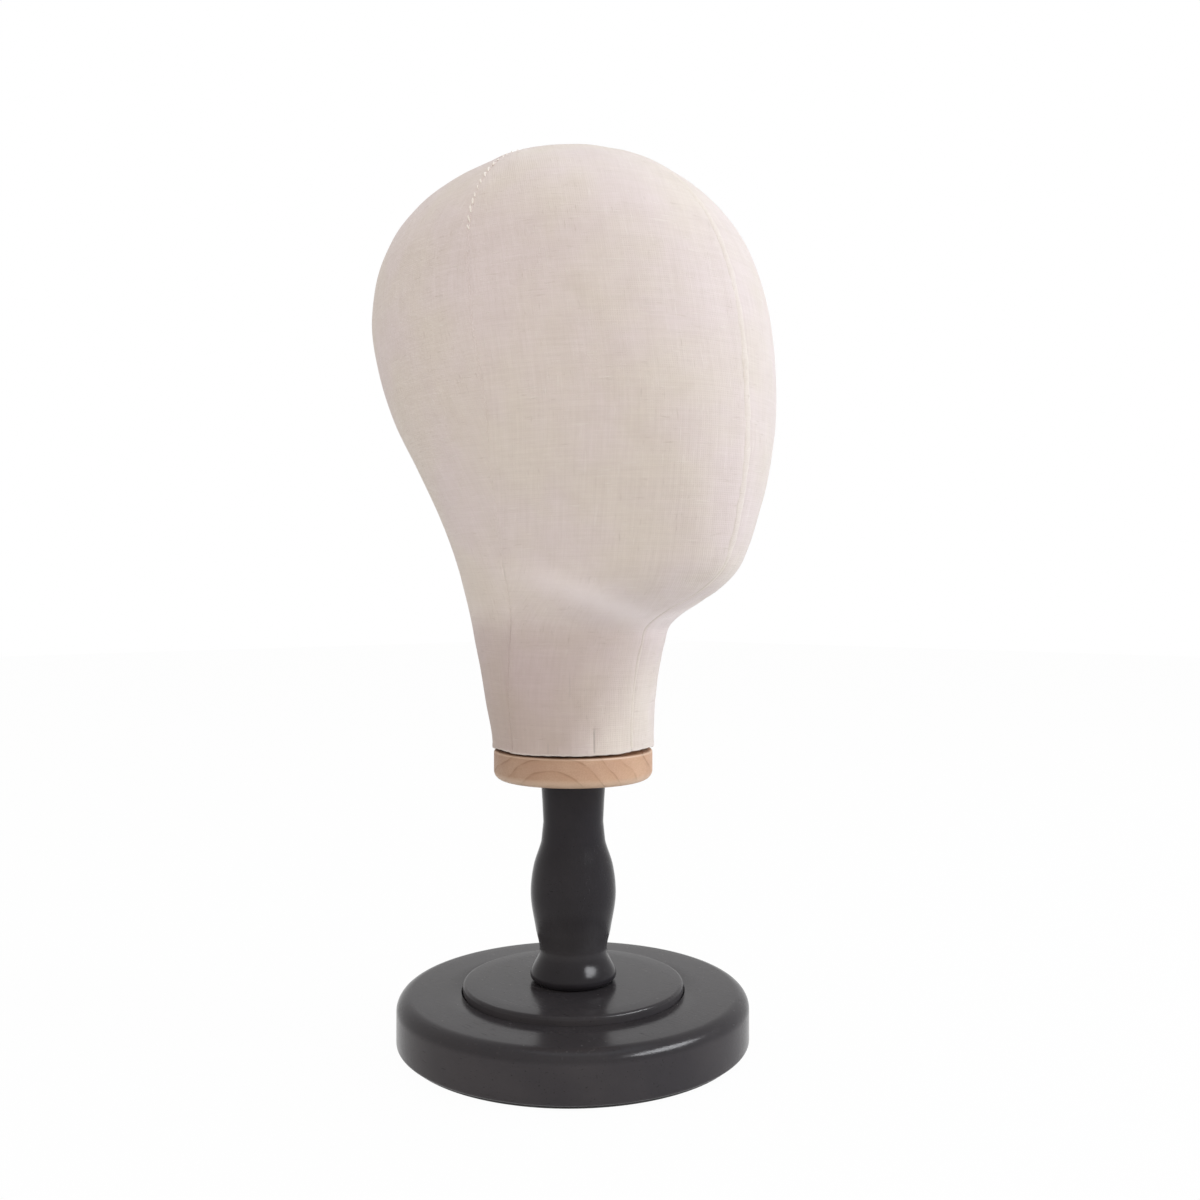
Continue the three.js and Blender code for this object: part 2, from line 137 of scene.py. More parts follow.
front_squared, back_squared, width_squared = (
    curve_through(HEAD_SECTIONS[:, 0], HEAD_SECTIONS[:, column] ** 2) for column in (1, 2, 3))
seam_forward = curve_through(SIDE_SEAM[:, 0], SIDE_SEAM[:, 1])


def head_surface(angle, height):
    """Points of the head and their normals, at angles from the front and heights over the hem."""
    width2, width_slope = width_squared(height)
    ahead = np.cos(angle) > 0
    front2, front_slope = front_squared(height)
    back2, back_slope = back_squared(height)
    reach2 = np.maximum(np.where(ahead, front2, back2), TINY)
    reach_slope = np.where(ahead, front_slope, back_slope)
    width2 = np.maximum(width2, TINY)
    x = np.sqrt(width2) * np.sin(angle)
    y = -np.sqrt(reach2) * np.cos(angle)
    normal = np.stack([
        x / width2,
        y / reach2,
        -0.5 * (x * x * width_slope / width2 ** 2 + y * y * reach_slope / reach2 ** 2),
    ], -1)
    normal /= np.linalg.norm(normal, axis=-1, keepdims=True)
    # The cloth spans the throat in a rounder line
    throat, breadth, fill = 52.5, 3.6, 0.5
    span = fill * np.exp(-(((height - throat) / breadth) ** 2)) * np.maximum(np.cos(angle), 0)
    return np.stack([x, y, height + HEM], -1) + normal * span[..., None], normal


def side_angle(height):
    """Angle of the left side seam at a height over the hem."""
    share = seam_forward(height)[0] / np.sqrt(np.maximum(front_squared(height)[0], TINY))
    return np.arccos(np.clip(share, -1, 1))


# How far round the head each seam lies, at a height over the hem
SEAMS = {
    "front": lambda height: 0.0,
    "back": lambda height: math.pi,
    "left": side_angle,
    "right": lambda height: -side_angle(height),
}


def smooth_step(x, start, end):
    """Rises from 0 at start to 1 at end, level at both."""
    t = np.clip((x - start) / (end - start), 0, 1)
    return t * t * (3 - 2 * t)


def to_crown(steps):
    """Heights from 236 up towards the crown, closer and closer, without the crown itself."""
    start = 236
    return start + (CROWN - start) * np.sin(np.linspace(0, 1, steps)[:-1] * math.pi / 2)


def walked(points):
    """Length walked along each row of points, up to each of them."""
    steps = np.linalg.norm(np.diff(points, axis=-2), axis=-1)
    return np.insert(np.cumsum(steps, axis=-1), 0, 0, axis=-1)


def grid_faces(rows, columns, closed=False):
    """Quads between neighbouring rows of points; closed joins the last column to the first."""
    grid = np.arange(rows * columns).reshape(rows, columns)
    if closed:
        grid = np.column_stack([grid, grid[:, :1]])
    corners = [grid[:-1, :-1], grid[:-1, 1:], grid[1:, 1:], grid[1:, :-1]]
    return np.stack(corners, -1).reshape(-1, 4)


def sheet_faces(rows, columns):
    """Faces of a closed sheet: its front, its back, and the strip round their border."""
    count = rows * columns
    front = grid_faces(rows, columns)
    grid = np.arange(count).reshape(rows, columns)
    ring = np.concatenate([grid[:, 0], grid[-1, 1:], grid[-2::-1, -1], grid[0, -2:0:-1]])
    following = np.roll(ring, -1)
    strip = np.stack([ring, following, following + count, ring + count], -1)
    return np.concatenate([front, front[:, ::-1] + count, strip])


def capped_faces(rows, sides):
    """Faces of a closed tube of rings, whose first and last tips come after the rings."""
    faces = grid_faces(rows, sides, closed=True).tolist()
    last = (rows - 1) * sides
    for k in range(sides):
        n = (k + 1) % sides
        faces.append((n, k, rows * sides))
        faces.append((last + k, last + n, rows * sides + 1))
    return faces


def in_scene(name, data):
    """A new object that shows the data."""
    made = bpy.data.objects.new(name, data)
    bpy.context.scene.collection.objects.link(made)
    return made


def mesh_piece(name, points, faces, material, body, replaced=None, vectors=None, values=None):
    """A smooth piece from points in millimetres. It rides on a body and may replace a CAD node;
    vectors and values are its own attributes, one for each point."""
    mesh = bpy.data.meshes.new(name)
    mesh.from_pydata((np.asarray(points) * MM).tolist(), [], [list(map(int, f)) for f in faces])
    for kind, field, given in (("FLOAT_VECTOR", "vector", vectors), ("FLOAT", "value", values)):
        for key, data in (given or {}).items():
            attribute = mesh.attributes.new(key, kind, "POINT")
            attribute.data.foreach_set(field, np.asarray(data, np.float32).ravel())
    mesh.materials.append(material)
    mesh.shade_smooth()
    mesh.update()
    piece = in_scene(name, mesh)
    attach(piece, body)
    if replaced:
        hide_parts(replaced)
    return piece


def sharp(piece, degrees=35):
    """Keeps a piece's hard edges hard."""
    piece.data.set_sharp_from_angle(angle=math.radians(degrees))


def arc(centre, radius, start, end, steps):
    """Points of an arc in the plane of a turned outline, angles in degrees."""
    angles = np.radians(np.linspace(start, end, steps + 1))
    return [(centre[0] + radius * math.cos(a), centre[1] + radius * math.sin(a)) for a in angles]


def edge_wear_and_highlight(points):
    """Marks the points of an arc as an edge, most in its middle."""
    last = len(points) - 1
    return [(r, z, math.sin(math.pi * i / last)) for i, (r, z) in enumerate(points)]


def rounded(radius, top, rounding, steps):
    """The rounding of a top edge, marked as an edge for wear and painted highlight."""
    return edge_wear_and_highlight(arc((radius - rounding, top - rounding), rounding, 0, 90, steps))


def turned(outline, sides):
    """Points, faces and the edge value of a turned piece. The outline is a closed ring of
    (radius, height) or (radius, height, edge); points on the axis meet in one."""
    points, faces, edge, ring_start = [], [], [], []
    for radius, height, *rest in outline:
        ring_start.append((len(points), radius < TINY))
        count = 1 if radius < TINY else sides
        for k in range(count):
            angle = TURN * k / sides
            points.append((radius * math.cos(angle), radius * math.sin(angle), height))
        edge += [rest[0] if rest else 0.0] * count
    for i in range(len(outline)):
        (a, a_tip), (b, b_tip) = ring_start[i], ring_start[(i + 1) % len(outline)]
        if a_tip and b_tip:
            continue
        for k in range(sides):
            n = (k + 1) % sides
            if a_tip:
                faces.append((a, b + n, b + k))
            elif b_tip:
                faces.append((a + k, a + n, b))
            else:
                faces.append((a + k, a + n, b + n, b + k))
    return np.array(points), faces, np.array(edge)


def turned_piece(name, replaced, outline, sides, material, body, crease=35):
    """A turned piece whose edges stay hard where they bend by more than crease degrees."""
    points, faces, edge = turned(outline, sides)
    piece = mesh_piece(name, points, faces, material, body, replaced, values={"edge": edge})
    if crease:
        sharp(piece, crease)


class Nodes:
    """Builds a node tree, link by link."""

    def __init__(self, tree):
        self.tree = tree

    def node(self, kind, inputs=None, **values):
        made = self.tree.nodes.new("ShaderNode" + kind)
        for key, value in values.items():
            setattr(made, key, value)
        for key, value in (inputs or {}).items():
            self.put(made.inputs[key], value)
        return made

    def put(self, socket, value):
        if isinstance(value, bpy.types.NodeSocket):
            self.tree.links.new(value, socket)
        else:
            socket.default_value = (*value, 1.0) if socket.type == "RGBA" else value

    def math(self, operation, a, b=0.0, clamp=False):
        return self.node("Math", {0: a, 1: b}, operation=operation, use_clamp=clamp).outputs[0]

    def plus(self, a, b, clamp=False):
        return self.math("ADD", a, b, clamp)

    def minus(self, a, b):
        return self.math("SUBTRACT", a, b)

    def times(self, value, *factors):
        for factor in factors:
            value = self.math("MULTIPLY", value, factor)
        return value

    def vector(self, operation, a, b):
        return self.node("VectorMath", {0: a, 1: b}, operation=operation).outputs["Vector"]

    def scaled(self, vector, scale):
        return self.vector("MULTIPLY", vector, scale)

    def dot(self, a, b):
        return self.node("VectorMath", {0: a, 1: b}, operation="DOT_PRODUCT").outputs["Value"]

    def part(self, vector, axis):
        return self.node("SeparateXYZ", {"Vector": vector}).outputs[axis]

    def mix(self, factor, a, b, blend="MIX"):
        made = self.node("Mix", data_type="RGBA", blend_type=blend)
        for index, value in ((0, factor), (6, a), (7, b)):
            self.put(made.inputs[index], value)
        return made.outputs[2]

    def stain(self, colour, mask, share, other):
        """Mixes a share of another colour in where the mask is."""
        return self.mix(self.times(mask, share), colour, other)

    def noise(self, vector, scale, detail=2.0, roughness=0.5, distortion=0.0, output="Fac"):
        return self.node("TexNoise", {
            "Vector": vector, "Scale": scale, "Detail": detail,
            "Roughness": roughness, "Distortion": distortion,
        }).outputs[output]

    def ramp(self, value, low, high, start=0.0, end=1.0, smooth=True):
        """Maps low..high to start..end."""
        made = self.node("MapRange", {
            "Value": value, "From Min": low, "From Max": high, "To Min": start, "To Max": end,
        })
        made.interpolation_type = "SMOOTHSTEP" if smooth else "LINEAR"
        return made.outputs["Result"]

    def fall(self, value, low, high, top=1.0):
        """Top up to low, nothing from high on."""
        return self.ramp(value, low, high, top, 0.0)

    def seen(self):
        """1 for rays that show the backdrop: straight, mirrored or through glass."""
        rays = self.node("LightPath").outputs
        seen = self.plus(rays["Is Camera Ray"], rays["Is Glossy Ray"])
        return self.plus(seen, rays["Is Transmission Ray"], clamp=True)


class Shader(Nodes):
    """The nodes of one material."""

    def __init__(self, name):
        self.material = bpy.data.materials.new(name)
        self.material.use_nodes = True
        super().__init__(self.material.node_tree)
        self.main = self.tree.nodes["Principled BSDF"]

    def attribute(self, name, output):
        return self.node("Attribute", attribute_name=name).outputs[output]

    def place(self):
        """The piece's own coordinates, in millimetres."""
        return self.scaled(self.node("TexCoord").outputs["Object"], (1000, 1000, 1000))

    def set(self, **values):
        for key, value in values.items():
            self.put(self.main.inputs[key.replace("_", " ")], value)

    def finish(self, height, distance, **values):
        """Sets the surface's values and its relief, and gives the material."""
        self.set(**values)
        bump = self.node("Bump", {"Height": height, "Distance": distance, "Strength": 1.0})
        self.put(self.main.inputs["Normal"], bump.outputs["Normal"])
        return self.material


# Level directions, to the head's front left and to its back left
FRONT_LEFT = (math.sqrt(0.5), -math.sqrt(0.5), 0.0)
BACK_LEFT = (math.sqrt(0.5), math.sqrt(0.5), 0.0)
# Small upright tucks: angle from the front in degrees, lower and upper end over the hem, and how
# much shade is painted in them
TUCKS = [
    (-29.4, 0.4, 13.0, 0.5), (-46.0, 24.0, 36.0, 0.16), (-61.0, 0.4, 7.0, 0.25),
    (38.0, 0.4, 9.0, 0.4), (121.0, 0.4, 12.0, 0.4), (-149.0, 0.4, 10.0, 0.4),
]


def linen_material(name, light, shade, pink, slub):
    """Plain-woven linen. The weave follows each piece's own weave coordinates, in millimetres."""
    s = Shader(name)
    weave = s.attribute("weave", "Vector")
    place = s.place()
    across_weave, up_weave = s.part(weave, "X"), s.part(weave, "Y")

    def streaks(first, second, low, high):
        """Short marks along either thread, from noise that is stretched each way."""
        upright, level = (
            s.ramp(s.noise(s.scaled(weave, stretch), 1.0), low, high)
            for stretch in (first, second))
        return s.plus(upright, level, clamp=True)

    # The threads wander a little
    wander = s.times(s.minus(s.noise(weave, 0.05, 1.0), 0.5), 0.9)
    u = s.times(s.plus(across_weave, wander), math.pi / THREAD_PITCH)
    v = s.times(s.minus(up_weave, wander), math.pi / THREAD_PITCH)
    warp = s.math("ABSOLUTE", s.math("SINE", u))
    weft = s.math("ABSOLUTE", s.math("SINE", v))
    over = s.times(s.math("COSINE", u), s.math("COSINE", v))
    over = s.plus(s.times(over, 0.5), 0.5)
    woven = s.plus(s.times(warp, over), s.times(weft, s.minus(1.0, over)))
    # Thick and thin threads run a long way
    warp_tone = s.noise(s.scaled(weave, (0.8, 0.035, 1.0)), 1.0, 3.0, 0.65)
    weft_tone = s.noise(s.scaled(weave, (0.035, 0.8, 1.0)), 1.0, 3.0, 0.65)
    threads = s.plus(warp_tone, weft_tone)
    # Slubs are short, pale and thick; gaps between threads are short and dark, and come in patches
    slubs = streaks((0.75, 0.10, 2.0), (0.10, 0.75, 3.0), 0.63, 0.74)
    gaps = streaks((0.80, 0.15, 5.0), (0.13, 0.85, 7.0), 0.62, 0.75)
    gaps = s.times(gaps, s.ramp(s.noise(place, 0.05), 0.40, 0.60, 0.25, 1.0))
    # Undyed flax changes from beige to pink over the width of a hand
    blotch = s.ramp(s.noise(place, 0.019, 3.0, 0.55), 0.34, 0.66, 0.1, 0.9)
    fine_blotch = s.ramp(s.noise(place, 0.10, 3.0, 0.6), 0.35, 0.68)
    colour = s.mix(blotch, light, pink)
    colour = s.stain(colour, fine_blotch, 0.12, shade)
    colour = s.mix(s.ramp(threads, 0.75, 1.25, 0.0, 0.26, False), colour, shade)
    colour = s.stain(colour, gaps, 0.45, shade)
    colour = s.stain(colour, slubs, 0.30, slub)
    # Painted light: a pale band under the jaw, where the cloth is pulled round
    colour = s.stain(colour, s.attribute("wear_and_painted_light", "Fac"), 0.75, (0.95, 0.85, 0.83))
    # Painted shade on the neck under the head. Under the jaw it begins steeply, round the nape it
    # fades in, and it reaches further round to the front left higher up
    height = s.part(place, "Z")
    across = s.dot(place, FRONT_LEFT)
    sharply = s.fall(s.dot(place, BACK_LEFT), 0.0, 26.0, 0.63)
    painted_neck_shade = s.plus(s.times(s.fall(height, HEM + 47, HEM + 64), sharply),
                     s.times(s.fall(height, HEM + 8, HEM + 61.5), s.minus(1.0, sharply)))
    slope = s.times(s.minus(height, HEM + 28), 0.62)
    painted_neck_shade = s.times(painted_neck_shade, s.fall(s.minus(across, slope), 6.7, 39.7),
                      s.ramp(across, -34.0, 0.0, 1.0, 0.8))
    neck_shade_tint = s.mix(painted_neck_shade, (1, 1, 1), (0.70, 0.645, 0.64))
    colour = s.mix(1.0, colour, neck_shade_tint, "MULTIPLY")
    # Painted shade in the creases of the tucks
    for degrees, low, high, darkness in TUCKS:
        a = math.radians(degrees)
        gap = s.math("ABSOLUTE", s.dot(place, (math.cos(a), math.sin(a), 0.0)))
        tuck = s.times(
            s.fall(gap, 0.12, 0.55, darkness),
            s.ramp(s.dot(place, (math.sin(a), -math.cos(a), 0.0)), 0.0, 1.0),
            s.fall(height, HEM + high - 4, HEM + high),
            s.ramp(height, HEM + low, HEM + low + 1.5))
        colour = s.mix(tuck, colour, (0.30, 0.24, 0.21))
    # Painted highlight along the folded edge of the hem
    colour = s.mix(s.fall(up_weave, HEM_IN_WEAVE - 0.8, HEM_IN_WEAVE + 0.5, 0.6), colour, slub)
    # Painted shade in the hollows between the threads
    colour = s.mix(s.fall(woven, 0.1, 0.6, 0.14), colour, shade)
    relief = s.plus(woven, s.times(threads, 0.9))
    relief = s.plus(relief, s.times(slubs, 0.8))
    relief = s.minus(relief, s.times(gaps, 0.8))
    relief = s.plus(relief, s.times(s.noise(place, 2.2), 0.35))
    return s.finish(relief, 0.00007, Base_Color=colour, Roughness=0.92, Sheen_Weight=0.25,
                    Sheen_Roughness=0.45, Specular_IOR_Level=0.25)


def fibrous_material(name, tangle, span, colours, depth, marks=None, relief=None, **surface):
    """Tangled fibres between two colours over a span of their noise. Marks are other fibres over
    them: their stretch, noise, span, share and colour. The relief may have a noise of its own."""
    s = Shader(name)
    place = s.place()
    fibres = s.noise(place, *tangle)
    colour = s.mix(s.ramp(fibres, *span), *colours)
    if marks:
        stretch, noise, ends, share, other = marks
        mask = s.ramp(s.noise(s.scaled(place, stretch), *noise), *ends)
        colour = s.stain(colour, mask, share, other)
    raised = s.noise(place, *relief) if relief else fibres
    return s.finish(raised, depth, Base_Color=colour, **surface)


def pine_material(name, across, along, pith, spacing):
    """Bare pine. Its rings lie round a pith line that runs along one direction; across is the
    level direction over it, and pith the place of that line, in millimetres."""
    s = Shader(name)
    place = s.place()
    bend = s.vector("SUBTRACT", s.noise(place, 0.035, output="Color"), (0.5, 0.5, 0.5))
    from_pith = s.vector("ADD", s.scaled(bend, (13, 13, 13)), s.vector("SUBTRACT", place, pith))
    side = s.dot(from_pith, across)
    height = s.part(from_pith, "Z")
    radius = s.math("SQRT", s.plus(s.times(side, side), s.times(height, height)))
    year = s.math("FRACT", s.math("DIVIDE", radius, spacing))
    # Each year darkens slowly and ends in a thin dark line, fainter in places
    early = s.ramp(year, 0.25, 0.93)
    late = s.times(s.ramp(year, 0.80, 0.94), s.fall(year, 0.94, 1.0),
                   s.ramp(s.noise(place, 0.13), 0.38, 0.60, 0.12, 1.0))
    length = s.times(s.dot(place, along), 0.06)
    fibre_at = s.node("CombineXYZ", {"X": side, "Y": length, "Z": height}).outputs["Vector"]
    fibre = s.noise(fibre_at, 1.6, 4.0, 0.6)
    cloud = s.noise(place, 0.045, 3.0, 0.5)
    colour = s.mix(s.ramp(cloud, 0.3, 0.7), (0.63, 0.41, 0.275), (0.55, 0.335, 0.225))
    colour = s.stain(colour, early, 0.35, (0.50, 0.29, 0.17))
    colour = s.stain(colour, late, 0.62, (0.34, 0.18, 0.10))
    colour = s.mix(s.fall(fibre, 0.35, 0.7, 0.28), colour, (0.42, 0.24, 0.14))
    # Painted shade on one side, and a little painted light on the other
    painted_side_shade = s.ramp(side, -24.0, 30.0, 1.0, 0.0, False)
    painted_side_shade = s.mix(painted_side_shade, (1.08, 1.06, 1.04), (0.72, 0.73, 0.76))
    colour = s.mix(1.0, colour, painted_side_shade, "MULTIPLY")
    # Painted highlight on the rounded edges
    colour = s.stain(colour, s.attribute("edge", "Fac"), 0.42, (0.86, 0.67, 0.51))
    relief = s.minus(s.times(fibre, 0.5), s.times(late, 0.5))
    return s.finish(relief, 0.00015, Base_Color=colour, Specular_IOR_Level=0.4,
                    Roughness=s.ramp(fibre, 0.3, 0.7, 0.62, 0.48))


def lacquer_material(name, dark, light):
    """Satin black lacquer over turned wood: faint grain, dust in the film, edge wear."""
    s = Shader(name)
    place = s.place()
    grain = s.noise(s.scaled(place, (1.0, 0.05, 1.0)), 0.9, 4.0, 0.65, 0.3)
    pores = s.ramp(s.noise(s.scaled(place, (1.6, 0.09, 1.6)), 1.0), 0.66, 0.72)
    cloud = s.noise(place, 0.03, 3.0, 0.5)
    # Dust lies on what faces up
    facing = s.part(s.node("NewGeometry").outputs["Normal"], "Z")
    specks = s.node("TexVoronoi", {"Vector": place, "Scale": 0.27, "Randomness": 1.0})
    dust = s.times(s.fall(specks.outputs["Distance"], 0.06, 0.14),
                   s.ramp(s.noise(place, 0.06), 0.42, 0.56), s.ramp(facing, 0.7, 0.95))
    wear_and_painted_light = s.times(s.attribute("edge", "Fac"),
                     s.ramp(s.noise(place, 0.35, 4.0, 0.65), 0.45, 0.75))
    colour = s.mix(s.ramp(cloud, 0.35, 0.65), dark, light)
    colour = s.stain(colour, pores, 0.5, (0.010, 0.009, 0.0095))
    colour = s.stain(colour, wear_and_painted_light, 0.2, (0.070, 0.060, 0.056))
    colour = s.stain(colour, dust, 0.5, (0.32, 0.31, 0.31))
    # Painted light on the lower part of the column, above the bead
    height = s.part(place, "Z")
    waist = s.times(s.fall(height, 42, 66), s.ramp(height, 33, 43))
    colour = s.stain(colour, waist, 0.55, (0.075, 0.070, 0.072))
    # Painted dark reflection on tops and shoulders
    colour = s.mix(s.ramp(facing, 0.08, 0.45, 0.0, 0.55), colour, (0.024, 0.0215, 0.0235))
    rough = s.plus(s.ramp(cloud, 0.3, 0.7, 0.16, 0.22), s.times(wear_and_painted_light, 0.12))
    relief = s.minus(s.times(grain, 0.35), s.times(pores, 0.5))
    relief = s.plus(relief, s.times(dust, 0.8))
    return s.finish(relief, 0.00007, Base_Color=colour, Roughness=rough, Specular_IOR_Level=0.105)


def metal_material(name, light, dark):
    """Metal with fine turning or drawing marks and a little tarnish."""
    s = Shader(name)
    place = s.place()
    marks = s.noise(s.scaled(place, (0.3, 0.3, 5.0)), 1.0, 3.0, 0.6)
    tarnish = s.ramp(s.noise(place, 0.22, 4.0, 0.6), 0.42, 0.68)
    colour = s.stain(light, tarnish, 0.6, dark)
    rough = s.plus(s.ramp(marks, 0.3, 0.7, 0.24, 0.38), s.times(tarnish, 0.12))
    return s.finish(marks, 0.00005, Base_Color=colour, Metallic=1.0, Roughness=rough)


LINEN = linen_material("unbleached_linen", (0.79, 0.70, 0.62), (0.58, 0.48, 0.42),
                       (0.80, 0.69, 0.68), (0.86, 0.79, 0.73))
# A lighter copy of the linen for the front and back seam ridges: painted highlight on their crests
RIDGE_LINEN = linen_material("seam_linen", (0.815, 0.73, 0.645), (0.61, 0.51, 0.44),
                             (0.82, 0.725, 0.68), (0.88, 0.82, 0.75))
THREAD = fibrous_material(
    "sewing_thread", (3.5, 2.0, 0.6), (0.35, 0.7), ((0.86, 0.77, 0.69), (0.94, 0.88, 0.81)), 0.0001,
    Roughness=0.55, Sheen_Weight=0.3, Sheen_Roughness=0.4)
WADDING = fibrous_material(
    "wadding_felt", (0.9, 6.0, 0.7, 1.8), (0.3, 0.7), ((0.70, 0.67, 0.60), (0.90, 0.88, 0.83)),
    0.0006, ((1, 1, 1), (0.12,), (0.4, 0.7), 0.3, (0.62, 0.58, 0.52)),
    Roughness=1.0, Sheen_Weight=0.4, Sheen_Roughness=0.6)
PULP = fibrous_material(
    "pressed_pulp", (0.06, 4.0, 0.6), (0.35, 0.65), ((0.30, 0.24, 0.17), (0.44, 0.36, 0.26)),
    0.0005, ((1, 1, 0.25), (0.7, 3.0, 0.7), (0.58, 0.66), 0.6, (0.16, 0.12, 0.08)),
    (0.5, 5.0, 0.65), Roughness=0.95)
PINE = pine_material("bare_pine", FRONT_LEFT, BACK_LEFT, (-5.0, 5.0, 104.0), 6.2)
LACQUER = lacquer_material("black_lacquer", (0.026, 0.0232, 0.0268), (0.031, 0.0278, 0.0308))
# A lighter copy of the lacquer for the base and step: painted light
PAINTED_LIGHT_LACQUER = lacquer_material("black_lacquer_painted_lighter", (0.049, 0.0445, 0.0485),
                                 (0.060, 0.0540, 0.0570))
STEEL = metal_material("zinc_steel", (0.56, 0.57, 0.58), (0.36, 0.36, 0.36))
BRASS = metal_material("turned_brass", (0.62, 0.43, 0.13), (0.38, 0.24, 0.09))
FIBRE = fibrous_material(
    "fibre_board", (1.4, 5.0, 0.7, 1.2), (0.35, 0.68), ((0.12, 0.07, 0.045), (0.21, 0.135, 0.09)),
    0.0002, Roughness=0.8)
FELT = fibrous_material(
    "charcoal_felt", (1.1, 6.0, 0.75, 2.0), (0.3, 0.7),
    ((0.022, 0.022, 0.024), (0.065, 0.064, 0.066)), 0.0005,
    ((1.0, 0.2, 1.0), (1.3, 2.0, 0.6), (0.66, 0.72), 0.3, (0.20, 0.19, 0.19)),
    Roughness=1.0, Sheen_Weight=0.5, Sheen_Roughness=0.5)


def near_line(points, places):
    """Distance of each point to a line over the head, and how far along the line that is, 0 to 1.
    The line's places are angles in degrees and heights over the hem."""
    angles, heights = np.array(places, float).T
    line = head_surface(np.radians(angles), heights)[0]
    spans = np.linalg.norm(np.diff(line, axis=0), axis=1)
    starts = walked(line)
    best = np.full(points.shape[:-1], 1e9)
    along = np.zeros(points.shape[:-1])
    for a, b, span, start in zip(line[:-1], line[1:], spans, starts):
        t = np.clip(((points - a) @ (b - a)) / span ** 2, 0, 1)
        gap = np.linalg.norm(points - a - t[..., None] * (b - a), axis=-1)
        closer = gap < best
        best = np.where(closer, gap, best)
        along = np.where(closer, (start + t * span) / starts[-1], along)
    return best, along


# Folds and creases of the stretched cloth: places along each, its height and its half breadth
FOLDS = [
    # Under the jaw, on either side
    ([(-98, 79), (-78, 76), (-63, 72), (-47, 67), (-29, 62), (-8, 58.5)], 0.48, 4.0),
    ([(98, 78), (80, 75.5), (63, 72), (45, 67), (30, 62.5), (10, 58.5)], 0.48, 4.0),
    # Where the chin's cloth is gathered into the neck
    ([(-21, 63.2), (-12, 62), (-3, 60.5)], 0.45, 0.9),
    ([(-32, 61), (-22, 60.2), (-12, 59.2)], 0.3, 0.8),
    ([(-24, 58), (-14, 57.3), (-5, 57.2)], -0.55, 0.9),
    ([(6, 61), (15, 62.5), (25, 63)], 0.4, 1.0),
    ([(4, 57.4), (14, 57.6), (23, 58.6)], -0.45, 0.9),
    # The dents of the tucks over the hem
    ([(-29.4, 1), (-29.4, 7), (-29.4, 13)], -0.35, 1.2),
    ([(-61, 1), (-61, 7)], -0.2, 1.2),
    ([(38, 1), (38, 9)], -0.3, 1.2),
    ([(121, 1), (121, 12)], -0.3, 1.2),
    ([(-149, 1), (-149, 10)], -0.25, 1.2),
]
# Where the cloth is pulled round under the jaw, from ear to ear
JAW_LINE = [
    (-98, 78), (-78, 75), (-63, 71), (-47, 66), (-29, 61), (-8, 57), (8, 57), (30, 61.5), (45, 66),
    (63, 71), (80, 74.5), (98, 77),
]


def relief(points, seam_gap):
    """How far the cloth stands off the head's form, in millimetres."""
    x, y, z = points[..., 0], points[..., 1], points[..., 2]
    off = 0.10 * np.sin(x / 9.3 + z / 17.0 + 1.3) * np.sin(y / 11.0 - z / 13.0)
    off = off + 0.06 * np.sin(x / 3.9 - y / 4.7 + z / 6.1)
    # Over the seam allowances it lies a little higher
    off = off + 0.28 * smooth_step(seam_gap, 9.0, 3.5)
    for places, height, breadth in FOLDS:
        gap, along = near_line(points, places)
        fade = np.sin(np.pi * np.clip(along * 0.94 + 0.03, 0, 1)) ** 0.5
        off = off + height * fade * np.exp(-((gap / breadth) ** 2))
    return off


def painted_jaw_light(points):
    """The painted light under the jaw, from 0 to 1."""
    gap, along = near_line(points, JAW_LINE)
    middle = 1 - np.abs(2 * along - 1)
    return smooth_step(middle, 0.0, 0.7) * np.exp(-((gap / (5.5 + 2.5 * middle)) ** 2))


def cloth_heights():
    """Row heights, closest at the hem, under the chin and over the crown."""
    return np.concatenate([
        np.arange(0.9, 18, 0.9), np.arange(18, 50, 1.6), np.arange(50, 82, 0.8),
        np.arange(82, 236, 1.7), to_crown(34), [CROWN - 0.004, CROWN - 0.0004, CROWN - 0.000001],
    ])


def hem_rise(angle):
    """How far the wavy hem lies over its own level, round the head."""
    degrees = np.degrees((angle + math.pi) % TURN - math.pi)
    wave = np.interp(degrees, HEM_WAVE[:, 0], HEM_WAVE[:, 1])
    return wave + 0.07 * np.sin(angle * 37.0) + 0.05 * np.sin(angle * 61.0 + 1.0)


GORE_COLUMNS = 66
EVEN = np.linspace(0, 1, GORE_COLUMNS)
# Columns lie closer at the seams
GORE_SHARES = 0.7 * (1 - np.cos(math.pi * EVEN)) / 2 + 0.3 * EVEN


def gore_angles(height, front, left):
    """Angles across a gore, at a height over the hem."""
    side = side_angle(height)
    angle = side * GORE_SHARES if front else side + (math.pi - side) * GORE_SHARES
    return angle if left else -angle


def turned_hem(first, out, first_weave):
    """The hem that is turned under: rows from its inner edge outwards and round the fold, with
    their normals and weave. It starts from the lowest row of the cloth and that row's normals."""
    level = np.stack([out[:, 0], out[:, 1], 0 * out[:, 0]], -1)
    level /= np.linalg.norm(level, axis=1, keepdims=True)
    centre = first - level * HEM_FOLD
    radius = np.linalg.norm(first[:, :2], axis=1)
    down = np.zeros_like(first) + np.array([0.0, 0.0, -1.0])
    rows, normals = [], []
    for clear_of_block in (0.9, 3.0, 5.4):
        ring = centre - level * (radius - HEM_FOLD - (BLOCK_RADIUS + clear_of_block))[:, None]
        ring[:, 2] = centre[:, 2] - HEM_FOLD
        rows.append(ring)
        normals.append(down)
    for a in np.radians([-90, -67, -45, -22]):
        rows.append(centre + level * HEM_FOLD * math.cos(a)
                    + np.array([0, 0, HEM_FOLD * math.sin(a)]))
        normals.append(level * math.cos(a) + np.array([0, 0, math.sin(a)]))
    before_fold = np.array([-7.6, -5.5, -3.2, -1.2, -0.9, -0.6, -0.3])
    weave = np.repeat(first_weave[None], len(rows), 0)
    weave[..., 1] += before_fold[:, None]
    return np.stack(rows), np.stack(normals), weave


